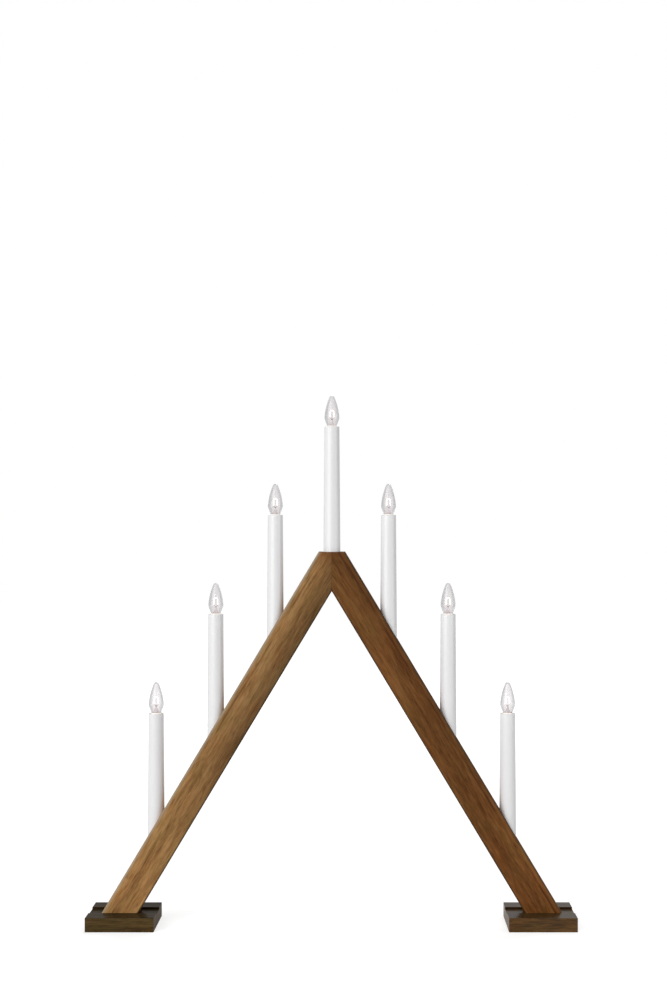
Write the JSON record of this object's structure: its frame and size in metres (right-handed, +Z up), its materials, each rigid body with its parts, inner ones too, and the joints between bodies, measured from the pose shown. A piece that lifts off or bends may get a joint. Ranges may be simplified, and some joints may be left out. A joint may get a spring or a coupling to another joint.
{
  "type": "candle arch",
  "caption": "A-shaped wooden candle arch on block feet, with slim white candle tubes whose clear flame bulbs screw out of sprung lampholders.",
  "frame": {"origin": "on the floor, in the middle of the arch, at the centre of the bottom of its box", "axes": "+X along the arch to the viewer's right, +Y to the back, +Z up"},
  "size_m": [0.487, 0.068, 0.5324],
  "materials": {
    "leg_wood": "satin brown stain",
    "foot_wood": "darker satin stain",
    "cover_wood": "satin brown stain",
    "dowel_wood": "bare beech",
    "tube_plastic": "satin white",
    "holder_plastic": "matt white",
    "grommet_plastic": "matt brown",
    "brass": "bright brass",
    "spring_brass": "spring brass",
    "screw_steel": "zinc plated",
    "filament_metal": "tungsten",
    "bulb_glass": "clear",
    "wire_insulation": "white PVC",
    "splice_plastic": "natural"
  },
  "bodies": {
    "frame": {"left_leg": "leg_wood", "right_leg": "leg_wood", "left_foot": "foot_wood", "right_foot": "foot_wood", "left_channel_cover": "cover_wood", "right_channel_cover": "cover_wood", "cord_inlet_grommet": "grommet_plastic", "apex_dowels": "dowel_wood", "foot_screws": "screw_steel", "screw_shells": "brass", "contact_springs": "spring_brass", "series_wires": "wire_insulation", "return_wire": "wire_insulation", "supply_splices": "splice_plastic", "candle_tube_1": "tube_plastic", "lamp_holder_1": "holder_plastic", "candle_tube_2": "tube_plastic", "lamp_holder_2": "holder_plastic", "candle_tube_3": "tube_plastic", "lamp_holder_3": "holder_plastic", "candle_tube_4": "tube_plastic", "lamp_holder_4": "holder_plastic", "candle_tube_5": "tube_plastic", "lamp_holder_5": "holder_plastic", "candle_tube_6": "tube_plastic", "lamp_holder_6": "holder_plastic", "candle_tube_7": "tube_plastic", "lamp_holder_7": "holder_plastic"},
    "contact_1": {"centre_contact_1": "spring_brass"},
    "bulb_1": {"bulb_glass_1": "bulb_glass", "bulb_filament_1": "filament_metal", "bulb_cap_1": "brass"},
    "contact_2": {"centre_contact_2": "spring_brass"},
    "bulb_2": {"bulb_glass_2": "bulb_glass", "bulb_filament_2": "filament_metal", "bulb_cap_2": "brass"},
    "contact_3": {"centre_contact_3": "spring_brass"},
    "bulb_3": {"bulb_glass_3": "bulb_glass", "bulb_filament_3": "filament_metal", "bulb_cap_3": "brass"},
    "contact_4": {"centre_contact_4": "spring_brass"},
    "bulb_4": {"bulb_glass_4": "bulb_glass", "bulb_filament_4": "filament_metal", "bulb_cap_4": "brass"},
    "contact_5": {"centre_contact_5": "spring_brass"},
    "bulb_5": {"bulb_glass_5": "bulb_glass", "bulb_filament_5": "filament_metal", "bulb_cap_5": "brass"},
    "contact_6": {"centre_contact_6": "spring_brass"},
    "bulb_6": {"bulb_glass_6": "bulb_glass", "bulb_filament_6": "filament_metal", "bulb_cap_6": "brass"},
    "contact_7": {"centre_contact_7": "spring_brass"},
    "bulb_7": {"bulb_glass_7": "bulb_glass", "bulb_filament_7": "filament_metal", "bulb_cap_7": "brass"}
  },
  "joints": [
    {"name": "contact_lift_1", "type": "slide", "parent": "frame", "child": "contact_1", "axis": [0, 0, 1], "range_m": [0, 0.00136]},
    {"name": "bulb_turn_1", "type": "hinge", "parent": "contact_1", "child": "bulb_1", "pos_m": [-0.17701, 0, 0.2], "axis": [0, 0, 1], "range_deg": [0, 270]},
    {"name": "contact_lift_2", "type": "slide", "parent": "frame", "child": "contact_2", "axis": [0, 0, 1], "range_m": [0, 0.00136]},
    {"name": "bulb_turn_2", "type": "hinge", "parent": "contact_2", "child": "bulb_2", "pos_m": [-0.11701, 0, 0.2], "axis": [0, 0, 1], "range_deg": [0, 270]},
    {"name": "contact_lift_3", "type": "slide", "parent": "frame", "child": "contact_3", "axis": [0, 0, 1], "range_m": [0, 0.00136]},
    {"name": "bulb_turn_3", "type": "hinge", "parent": "contact_3", "child": "bulb_3", "pos_m": [-0.057, 0, 0.2], "axis": [0, 0, 1], "range_deg": [0, 270]},
    {"name": "contact_lift_4", "type": "slide", "parent": "frame", "child": "contact_4", "axis": [0, 0, 1], "range_m": [0, 0.00136]},
    {"name": "bulb_turn_4", "type": "hinge", "parent": "contact_4", "child": "bulb_4", "pos_m": [0, 0, 0.2], "axis": [0, 0, 1], "range_deg": [0, 270]},
    {"name": "contact_lift_5", "type": "slide", "parent": "frame", "child": "contact_5", "axis": [0, 0, 1], "range_m": [0, 0.00136]},
    {"name": "bulb_turn_5", "type": "hinge", "parent": "contact_5", "child": "bulb_5", "pos_m": [0.057, 0, 0.2], "axis": [0, 0, 1], "range_deg": [0, 270]},
    {"name": "contact_lift_6", "type": "slide", "parent": "frame", "child": "contact_6", "axis": [0, 0, 1], "range_m": [0, 0.00136]},
    {"name": "bulb_turn_6", "type": "hinge", "parent": "contact_6", "child": "bulb_6", "pos_m": [0.11701, 0, 0.2], "axis": [0, 0, 1], "range_deg": [0, 270]},
    {"name": "contact_lift_7", "type": "slide", "parent": "frame", "child": "contact_7", "axis": [0, 0, 1], "range_m": [0, 0.00136]},
    {"name": "bulb_turn_7", "type": "hinge", "parent": "contact_7", "child": "bulb_7", "pos_m": [0.17701, 0, 0.2], "axis": [0, 0, 1], "range_deg": [0, 270]}
  ],
  "couplings": [
    {"joint": "contact_lift_1", "follows": "bulb_turn_1", "m_per_rad": 0.00028807},
    {"joint": "contact_lift_2", "follows": "bulb_turn_2", "m_per_rad": 0.00028807},
    {"joint": "contact_lift_3", "follows": "bulb_turn_3", "m_per_rad": 0.00028807},
    {"joint": "contact_lift_4", "follows": "bulb_turn_4", "m_per_rad": 0.00028807},
    {"joint": "contact_lift_5", "follows": "bulb_turn_5", "m_per_rad": 0.00028807},
    {"joint": "contact_lift_6", "follows": "bulb_turn_6", "m_per_rad": 0.00028807},
    {"joint": "contact_lift_7", "follows": "bulb_turn_7", "m_per_rad": 0.00028807}
  ]
}
